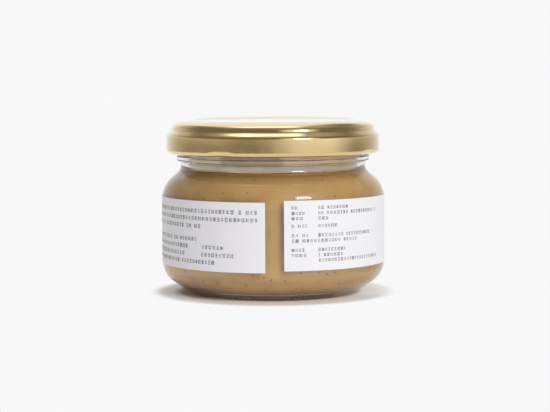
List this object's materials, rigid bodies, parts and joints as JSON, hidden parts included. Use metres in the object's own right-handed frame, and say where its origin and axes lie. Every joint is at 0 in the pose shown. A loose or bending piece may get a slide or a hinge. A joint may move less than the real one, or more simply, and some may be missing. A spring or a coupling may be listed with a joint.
{
  "type": "peanut butter jar",
  "caption": "Squat round glass jar filled with smooth nut spread, shut with a gold twist-off metal lid and wrapped in a white paper label.",
  "frame": {"origin": "centre of the circle that the jar stands on, at its foot", "axes": "+Z is the jar's axis, up through the lid; -Y is the front, where the ends of the label leave a gap"},
  "size_m": [0.069, 0.069, 0.0535],
  "materials": {
    "jar_glass": "clear colourless glass, polished, stippled under the foot",
    "nut_spread": "smooth ground nut paste, warm light brown with fine darker specks, satin",
    "gold_lid": "thin steel sheet with a pale gold lacquer, glossy",
    "label_paper": "white coated paper, satin"
  },
  "bodies": {
    "root": {"glass_jar": "jar_glass", "peanut_butter": "nut_spread", "lid": "gold_lid", "label": "label_paper"}
  },
  "joints": []
}
